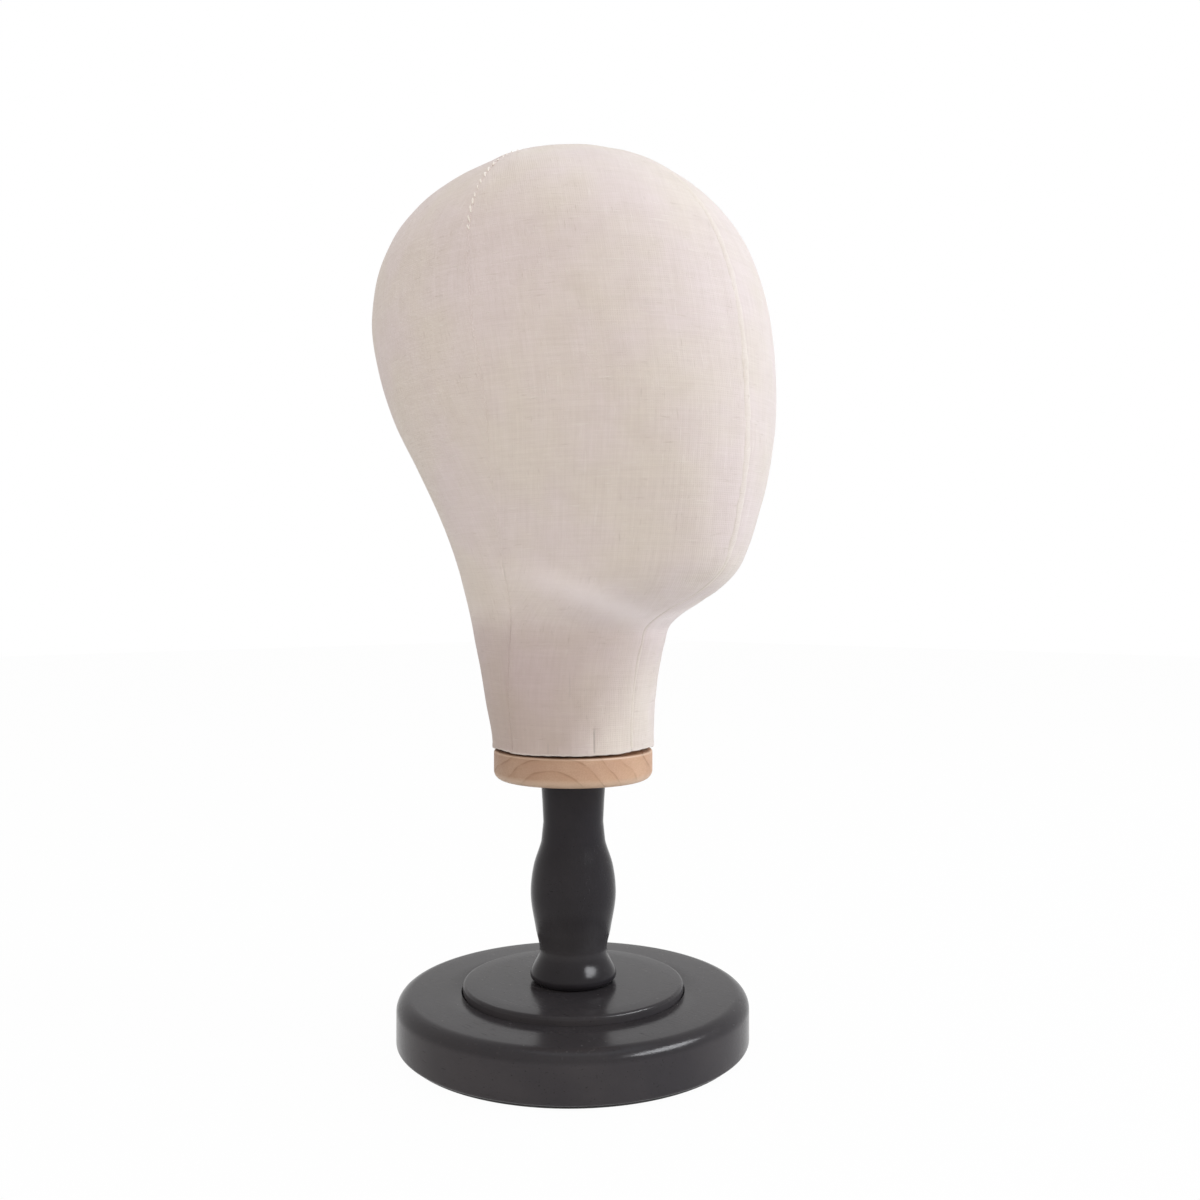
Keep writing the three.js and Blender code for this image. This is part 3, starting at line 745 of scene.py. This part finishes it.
def gore(front, left):
    """One quarter of the cover, with its hem turned under. Gives the piece, the width and length
    that it is cut to, and the area of cloth that shows, in millimetres."""
    heights = cloth_heights()
    angle = np.stack([gore_angles(height, front, left) for height in heights])
    points, normals = head_surface(angle, heights[:, None] * np.ones(GORE_COLUMNS))
    across = walked(points)
    width = across[:, -1:]
    seam_gap = np.minimum(across, width - across)
    off = relief(points, seam_gap)
    # The edges turn in at the seams
    off = off - 0.25 * smooth_step(seam_gap, 1.2, 0.0)
    off = off * smooth_step(CROWN - heights, 0.0, 2.0)[:, None]
    # The hem lies in a wavy line, and a doubled edge makes it stand out
    rise = hem_rise(angle) * smooth_step(heights, 9.0, 0.5)[:, None]
    doubled = 0.16 * smooth_step(heights, 2.6, 1.5)[:, None]
    face = points + normals * (off + doubled)[..., None]
    face[..., 2] += rise
    length = walked(points[:, GORE_COLUMNS // 2])
    seed = (1 if front else 2) + (0 if left else 2)
    weave = np.stack([
        across - width / 2,
        np.repeat((length + HEM_IN_WEAVE)[:, None], GORE_COLUMNS, 1),
        np.full(across.shape, seed * 37.0),
    ], -1)
    # Painted light under the jaw
    wear_and_painted_light = painted_jaw_light(points)
    area = float(np.linalg.norm(np.cross(
        points[1:, :-1] - points[:-1, :-1], points[:-1, 1:] - points[:-1, :-1]), axis=-1).sum())

    hem, hem_normals, hem_weave = turned_hem(face[0], normals[0], weave[0])
    face = np.concatenate([hem, face])
    back = face - np.concatenate([hem_normals, normals]) * COVER
    weave = np.concatenate([hem_weave, weave])
    wear_and_painted_light = np.concatenate([np.zeros(hem.shape[:2]), wear_and_painted_light])
    faces = sheet_faces(len(face), GORE_COLUMNS)
    if not left:
        faces = faces[:, ::-1]
    quarter = f"{'front' if front else 'back'}_{'left' if left else 'right'}"
    piece = mesh_piece(
        f"linen_{quarter}", np.concatenate([face, back]).reshape(-1, 3), faces, LINEN, "head",
        f"cover_{quarter}",
        vectors={"weave": np.concatenate([weave, weave]).reshape(-1, 3)},
        values={"wear_and_painted_light": np.concatenate([wear_and_painted_light, wear_and_painted_light])},
    )
    return piece, float(width.max()) + SEAM_ALLOWANCE, float(length[-1]) + HEM_ALLOWANCE, area


def padding_layer():
    """The wadding under the cover, a sleeve that is open at the neck."""
    heights = np.concatenate([
        np.arange(1.2, 60, 4.0), np.arange(60, 236, 4.0), to_crown(14), [CROWN - 0.01],
    ])
    columns = 96
    slack = 0.05
    angle, height = np.meshgrid(np.linspace(0, TURN, columns, endpoint=False), heights)
    points, normals = head_surface(angle, height)
    x, y, z = points[..., 0], points[..., 1], points[..., 2]
    lumps = 0.05 * np.sin(x / 5.1) * np.sin(y / 4.3) * np.sin(z / 6.7)
    outer = points - normals * (COVER_INSET + slack + lumps)[..., None]
    inner = points - normals * (COVER_INSET + PADDING)
    rows = len(heights)
    count = rows * columns
    faces = grid_faces(rows, columns, closed=True)
    k = np.arange(columns)
    n = (k + 1) % columns
    foot = np.stack([n, k, k + count, n + count], -1)
    top = (rows - 1) * columns
    tips = [[0, 0, HEM + CROWN - COVER_INSET - depth] for depth in (slack, PADDING)]
    caps = [(top + a, top + b, 2 * count) for a, b in zip(k, n)]
    caps += [(top + count + b, top + count + a, 2 * count + 1) for a, b in zip(k, n)]
    quads = np.concatenate([faces, faces[:, ::-1] + count, foot]).tolist()
    everything = np.concatenate([outer.reshape(-1, 3), inner.reshape(-1, 3), tips])
    piece = mesh_piece("wadding_sleeve", everything, quads + caps, WADDING, "head",
                       "padding")


def seam_path(angle_at, start=0.6, step=0.9):
    """Points along a seam with its normals and directions, and the length up to each point."""
    heights = np.concatenate([
        np.arange(start, 236, step), to_crown(46), [CROWN - 0.006, CROWN - 0.0005],
    ])
    angles = np.array([angle_at(height) for height in heights])
    points, normals = head_surface(angles, heights)
    points[:, 2] += hem_rise(angles) * smooth_step(heights, 9, 0.5)
    along = np.gradient(points, axis=0)
    along /= np.linalg.norm(along, axis=1, keepdims=True)
    normals -= along * (normals * along).sum(1, keepdims=True)
    normals /= np.linalg.norm(normals, axis=1, keepdims=True)
    return points, normals, along, walked(points)


def tube(points, normals, along, half_width, half_height, sides):
    """A flattened tube along a path, its half width and height given for each point. Also gives
    the angles round it."""
    across = np.cross(along, normals)
    angles = np.linspace(0, TURN, sides, endpoint=False)
    ring = (
        points[:, None]
        + across[:, None] * (half_width[:, None] * np.cos(angles))[..., None]
        + normals[:, None] * (half_height[:, None] * np.sin(angles))[..., None]
    )
    everything = np.concatenate([ring.reshape(-1, 3), points[:1], points[-1:]])
    return everything, capped_faces(len(points), sides), angles


def seam_ridge(side, half_width, height, material, seed):
    """The raised fold where two gores meet."""
    points, normals, along, length = seam_path(SEAMS[side])
    swell = 1 + 0.10 * np.sin(length / 2.9 + seed) + 0.07 * np.sin(length / 1.13 + 2 * seed)
    # It is flatter in the neck
    swell = swell * (0.5 + 0.5 * smooth_step(points[:, 2] - HEM, 62, 92))
    taper = smooth_step(length, 0, 1.2) * 0.4 + 0.6
    sunk = 0.35
    lift = 0.25 * smooth_step(CROWN + HEM - points[:, 2], 0, 2)
    sway = 0.12 * np.sin(length / 7.7 + seed) + 0.08 * np.sin(length / 2.3)
    centre = points + normals * (lift - sunk)[:, None] + np.cross(along, normals) * sway[:, None]
    sides = 14
    everything, faces, angles = tube(
        centre, normals, along, half_width * swell * taper, (height * swell + sunk) * taper, sides)
    weave = np.stack([
        angles * half_width + length[:, None] * 0.7,
        np.repeat(length[:, None] + 20, sides, 1),
        np.full((len(points), sides), 200.0 + 31 * seed),
    ], -1).reshape(-1, 3)
    mesh_piece(
        f"seam_{side}_ridge", everything, faces, material, "head", f"seam_{side}",
        vectors={"weave": np.concatenate([weave, weave[:1], weave[-1:]])},
    )


def hand_stitches(side, start, slant_side, seed):
    """Slanted hand stitches over a side seam, from a start over the hem up to the crown."""
    points, normals, along, length = seam_path(SEAMS[side], start, 0.6)
    across = np.cross(along, normals)
    pitch, reach, radius, stop = 4.1, 1.8, 0.38, 256.0
    last = float(np.interp(stop, points[:, 2] - HEM, length))
    t = np.linspace(-1, 1, 9)
    rise = 0.12 + 0.25 * (1 - t ** 2)
    thin = np.sqrt(np.maximum(1 - (np.abs(t) ** 4) * 0.75, 0.05))
    all_points, all_faces = [], []
    for number, at in enumerate(np.arange(1.5, last, pitch)):
        jitter = math.sin(number * 12.9 + seed) * 0.6
        slant = slant_side * (0.42 + 0.12 * math.sin(number * 7.3 + seed))
        size = 1 + 0.18 * math.sin(number * 5.1 + 2 * seed)
        i = min(int(np.searchsorted(length, at + jitter)), len(points) - 1)
        direction = along[i] * math.cos(slant) + across[i] * math.sin(slant)
        path = points[i] + direction * (t * reach * size)[:, None] + normals[i] * rise[:, None]
        forward = np.gradient(path, axis=0)
        forward /= np.linalg.norm(forward, axis=1, keepdims=True)
        up = normals[i] - forward * (forward @ normals[i])[:, None]
        up /= np.linalg.norm(up, axis=1, keepdims=True)
        thickness = radius * size * thin
        ring, faces, _ = tube(path, up, forward, thickness, thickness, 8)
        made = sum(len(p) for p in all_points)
        all_points.append(ring)
        all_faces += [tuple(v + made for v in f) for f in faces]
    mesh_piece(f"stitches_{side}", np.concatenate(all_points), all_faces, THREAD, "head")


def felt_pad():
    outline = [(0, 0), (74.6, 0), (75, 0.3), (75.1, 0.7)]
    outline += [(r, FELT_TOP) for r in (74.8, 60, 0)]
    turned_piece("felt_pad", "base_felt_pad", outline, 160, FELT, "stand", crease=None)


def base_plate():
    """The round base, with a recess for the step disc and a counterbore for the bolt's head."""
    foot_rounding, recess_rounding = 1.5, 0.4
    outline = [(BOLT_BORE, BASE_BOTTOM), (40, BASE_BOTTOM)]
    outline += arc((BASE_RADIUS - foot_rounding, BASE_BOTTOM + foot_rounding), foot_rounding,
                   -90, 0, 5)
    outline += [(BASE_RADIUS, 7.0), (BASE_RADIUS, 12.0)]
    outline += rounded(BASE_RADIUS, BASE_TOP, BASE_ROUNDING, 18)
    outline += [(66, BASE_TOP), (58, BASE_TOP)]
    outline += edge_wear_and_highlight(arc((RECESS_RADIUS + recess_rounding, BASE_TOP - recess_rounding),
                        recess_rounding, 90, 180, 4))
    outline += [(r, RECESS_FLOOR) for r in (RECESS_RADIUS, 20, BORE)]
    outline += [(BORE, BOLT_FLOOR), (BOLT_BORE, BOLT_FLOOR)]
    turned_piece("base_plate", "base_disc", outline, 192, PAINTED_LIGHT_LACQUER, "stand")


def step_plate():
    outline = [(r, STEP_BOTTOM) for r in (BORE, 40, STEP_RADIUS - 0.3)]
    outline += [(STEP_RADIUS, STEP_BOTTOM + 0.3), (STEP_RADIUS, STEP_TOP - 3.0)]
    outline += rounded(STEP_RADIUS, STEP_TOP, 1.5, 8)
    outline += [(r, STEP_TOP) for r in (40, 25, BORE)]
    turned_piece("step_plate", "step_disc", outline, 160, PAINTED_LIGHT_LACQUER, "stand")


# Height above the column's foot, and radius
COLUMN_OUTLINE = np.array([
    [0, 17.6], [1.6, 18.8], [3.2, 19.1], [4.6, 18.72], [6.2, 17.94], [7.8, 17.05], [9.4, 16.15],
    [11.2, 15.35], [13.2, 15.0], [22.5, 16.6], [39, 18.9], [51, 17.5], [61.5, 14.2], [88, 14.2],
])


def turned_column():
    """The baluster, with a hole in its foot for the insert and one in its top for the pin."""
    insert_floor, insert_tip, pin_floor, top = 16.6, 23.3, 57.7, 88
    outline = [(0, insert_tip), (BORE, insert_tip), (BORE, insert_floor)]
    outline += [(INSERT_BORE, insert_floor), (INSERT_BORE, 0), (16.8, 0)]
    outline += arc((17.2, 0.5), 0.5, -90, -20, 3)
    heights = np.concatenate([
        np.arange(0.8, 16, 0.6), np.arange(16, 61.5, 1.0), [61.5, 70, 79, 84, 87.0],
    ])
    radii = curve_through(COLUMN_OUTLINE[:, 0], COLUMN_OUTLINE[:, 1])(heights)[0]
    for height, radius in zip(heights, radii):
        # The bead and the belly show wear
        bead = 0.5 * math.exp(-(((height - 3) / 2.0) ** 2))
        belly = 0.3 * math.exp(-(((height - 39) / 8.0) ** 2))
        outline.append((float(radius), float(height), bead + belly))
    outline += rounded(COLUMN_OUTLINE[-1, 1], top, 0.6, 5)
    outline += [(10, top), (BORE + 0.5, top), (BORE, top - 0.5), (BORE, pin_floor), (0, pin_floor)]
    placed = [(r, z + COLUMN_BOTTOM, *rest) for r, z, *rest in outline]
    turned_piece("turned_column", "column", placed, 128, LACQUER, "stand")


def pin():
    low, high = 84.3, 156.3
    outline = [(0, low), (3.2, low)]
    outline += [(PIN_RADIUS, z) for z in (85.1, 100, 112, 114, 118, 126, 136, 146, 154.6)]
    outline += [(PIN_RADIUS - 0.35, 155.9, 1.0), (3.3, high, 0.6), (0, high)]
    turned_piece("steel_pin", "swivel_pin", outline, 56, STEEL, "stand", 30)


def thrust_washer():
    low, high, chamfer = WASHER_BOTTOM, WASHER_TOP, 0.15
    outline = [
        (BORE, low), (WASHER_RADIUS - 0.2, low), (WASHER_RADIUS, low + chamfer),
        (WASHER_RADIUS, high - chamfer), (WASHER_RADIUS - 0.2, high), (BORE + 0.2, high),
        (BORE, high - chamfer),
    ]
    turned_piece("thrust_washer", "swivel_washer", outline, 72, FIBRE, "swivel", 50)


def bush():
    low, high = DISC_BOTTOM, DISC_BOTTOM + 36
    outline = [
        (4.9, low), (8.1, low, 1.0), (8.5, low + 0.4, 1.0), (8.5, low + 1.2), (5.5, low + 1.2),
        (5.5, high), (BORE + 0.2, high), (BORE, high - 0.3), (BORE, low + 0.6),
    ]
    turned_piece("brass_bush", "neck_bush", outline, 56, BRASS, "head", 30)


def screw_place(angle, circle):
    return circle * math.cos(angle), circle * math.sin(angle)


def disc_at_neck():
    """The pine disc, with the flange's recess and a countersunk hole for each screw."""
    bore, flange, hole, rounding = 5.8, 8.8, 4.1, 4
    outline = [(bore, DISC_TOP), (bore, DISC_BOTTOM + 1.5)]
    outline += [(flange, DISC_BOTTOM + 1.5), (flange, DISC_BOTTOM)]
    outline += [(r, DISC_BOTTOM) for r in np.linspace(10, 31, 22)]
    outline += edge_wear_and_highlight(arc((DISC_RADIUS - rounding, DISC_BOTTOM + rounding), rounding, -88, 0, 10))
    outline += [(DISC_RADIUS, DISC_BOTTOM + 8), (DISC_RADIUS, DISC_BOTTOM + 11)]
    outline += rounded(DISC_RADIUS, DISC_TOP, 0.9, 6)
    outline += [(30, DISC_TOP), (20, DISC_TOP)]
    points, faces, edge = turned(outline, 144)
    under = np.isclose(points[:, 2], DISC_BOTTOM) & (np.linalg.norm(points[:, :2], axis=1) < 30.5)
    keep = np.ones(len(points), bool)
    moved = points.copy()
    for angle in SCREW_ANGLES:
        centre = screw_place(angle, DISC_SCREW_CIRCLE)
        gap = points[:, :2] - centre
        far_off = np.linalg.norm(gap, axis=1)
        keep &= ~(under & (far_off < hole - 0.45))
        rim = under & keep & (far_off < hole + 0.55)
        moved[rim, :2] = centre + gap[rim] / far_off[rim, None] * hole
    numbers = np.cumsum(keep) - 1
    kept = [tuple(int(numbers[v]) for v in f) for f in faces if all(keep[v] for v in f)]
    sharp(mesh_piece("pine_disc", moved[keep], kept, PINE, "head", "neck_disc",
                     values={"edge": edge[keep]}))


def wood_screw(name, replaced, foot, length, body):
    """A countersunk screw, its head at the bottom with a pressed cross, its shank threaded."""
    sides, head, shank, rim, socket = 40, 3.7, 1.9, 0.4, 1.6
    thread_start, thread_depth, pitch = 6.0, 0.42, 1.7
    angles = np.linspace(0, TURN, sides, endpoint=False)

    def ring(radius, height):
        return np.stack([radius * np.cos(angles), radius * np.sin(angles), 0 * angles + height], -1)

    rows = []
    for radius in np.linspace(0.12, head - 0.15, 16):
        x, y = np.abs(radius * np.cos(angles)), np.abs(radius * np.sin(angles))
        arm = smooth_step(np.minimum(x, y), 0.62, 0.38)
        rows.append(ring(radius, socket * arm * smooth_step(np.maximum(x, y), 2.25, 1.55)))
    rows += [ring(head, 0.12), ring(head, rim), ring(2.8, rim + 0.95)]
    for height in np.arange(rim + head - shank, length - 0.2, 0.28):
        tip = 1 - 0.72 * smooth_step(height, length - 4.5, length)
        phase = (height / pitch - angles / TURN) % 1.0
        crest = np.clip(1 - np.abs(phase - 0.5) / 0.28, 0, 1)
        crest = crest * smooth_step(height, thread_start, thread_start + 1.5)
        cut = (shank - thread_depth + thread_depth * crest) * tip
        rows.append(ring(cut if height > thread_start else shank, height))
    points = np.concatenate([*rows, [[0, 0, socket], [0, 0, length]]]) + np.array(foot)
    faces = capped_faces(len(rows), sides)
    sharp(mesh_piece(name, points, faces, STEEL, body, replaced), 40)


felt_pad()
base_plate()
step_plate()
turned_column()
pin()
thrust_washer()
bush()
disc_at_neck()
for k, angle in enumerate(SCREW_ANGLES, 1):
    wood_screw(f"disc_screw_{k}", f"neck_disc_screw_{k}",
               (*screw_place(angle, DISC_SCREW_CIRCLE), DISC_BOTTOM), 32, "head")
    wood_screw(f"step_screw_{k}", f"step_disc_screw_{k}",
               (*screw_place(angle, STEP_SCREW_CIRCLE), BASE_BOTTOM + 4), 18, "stand")

padding_layer()
gores = [gore(front, left) for front in (True, False) for left in (True, False)]
seam_ridge("front", 1.95, 0.26, RIDGE_LINEN, 1.0)
seam_ridge("back", 1.95, 0.26, RIDGE_LINEN, 2.0)
seam_ridge("left", 0.6, 0.05, LINEN, 3.0)
seam_ridge("right", 0.6, 0.05, LINEN, 4.0)
hand_stitches("left", 206.0, 1, 1.0)
hand_stitches("right", 209.0, -1, 2.0)

for node, finish in {
    "base_bolt": STEEL, "base_bolt_washer": STEEL, "column_insert": BRASS, "neck_block": PINE,
    "core_front": PULP, "core_back": PULP,
}.items():
    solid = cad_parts[node]
    solid.data.materials.clear()
    solid.data.materials.append(finish)


def backdrop():
    """A white floor that keeps a faint shadow."""
    s = Shader("white_floor")
    s.set(Base_Color=(0.82, 0.82, 0.82), Roughness=1.0, Specular_IOR_Level=0.0)
    glow = s.node("Emission", {"Color": (1, 1, 1), "Strength": 1.0})
    both = s.node("MixShader", {
        0: s.times(s.seen(), 0.975), 1: s.main.outputs[0], 2: glow.outputs[0],
    })
    s.put(s.tree.nodes["Material Output"].inputs["Surface"], both.outputs[0])
    mesh = bpy.data.meshes.new("floor")
    corners = [(x, y, -0.0002) for x, y in ((-4, -4), (4, -4), (4, 4), (-4, 4))]
    mesh.from_pydata(corners, [], [(0, 1, 2, 3)])
    mesh.materials.append(s.material)
    in_scene("floor", mesh)


def world_light(level, tint):
    """Even tinted light. What the camera sees of the surroundings is plain white."""
    world = bpy.data.worlds.new("studio")
    bpy.context.scene.world = world
    world.use_nodes = True
    w = Nodes(world.node_tree)
    background = w.tree.nodes["Background"].inputs
    seen = w.seen()
    w.put(background["Strength"], w.ramp(seen, 0.0, 1.0, level, 1.0, smooth=False))
    w.put(background["Color"], w.mix(seen, tint, (1, 1, 1)))


def lamp(name, azimuth, elevation, distance, size, watts, colour):
    """A soft lamp that looks at the object's middle. Azimuth 0 stands in front of the face."""
    light = bpy.data.lights.new(name, "AREA")
    light.shape = "DISK"
    light.size = size
    light.energy = watts
    light.color = colour
    holder = in_scene(name, light)
    a, e = math.radians(azimuth), math.radians(elevation)
    middle = 0.2
    holder.location = (
        distance * math.cos(e) * math.sin(a),
        -distance * math.cos(e) * math.cos(a),
        middle + distance * math.sin(e),
    )
    holder.rotation_euler = (math.pi / 2 - e, 0, a)
    return holder


backdrop()
world_light(0.62, (1.0, 0.965, 0.915))
lamp("key", 35, 27, 1.7, 0.42, 7.6, (0.78, 0.88, 1.0)).visible_glossy = False
lamp("low_side", 48, 1, 1.7, 0.38, 5.8, (0.84, 0.92, 1.0)).visible_glossy = False
lamp("fill", -60, 24, 1.9, 1.5, 6.0, (1.0, 0.985, 0.965)).visible_glossy = False
lamp("overhead", 20, 84, 1.7, 1.5, 7.9, (0.76, 0.88, 1.0))
# This one shows only as a reflection in the lacquer
glint = lamp("glint", 24, 36, 1.7, 1.4, 62, (0.95, 0.97, 1.0))
glint.visible_diffuse = False
glint.data.shape = "ELLIPSE"
glint.data.size_y = 0.55

camera = bpy.data.cameras.new("camera")
camera.lens = 36.12
camera.sensor_width = 36
camera_holder = in_scene("camera", camera)
AWAY_FROM_COLUMN, LEFT_OF_VIEW, EYE = 0.5346, 0.01186, 0.1944
camera_holder.location = (
    (-AWAY_FROM_COLUMN + LEFT_OF_VIEW) * math.sqrt(0.5),
    (-AWAY_FROM_COLUMN - LEFT_OF_VIEW) * math.sqrt(0.5),
    EYE,
)
camera_holder.rotation_euler = (math.pi / 2, 0, -math.pi / 4)
bpy.context.scene.camera = camera_holder
bpy.context.scene.view_settings.view_transform = "Standard"
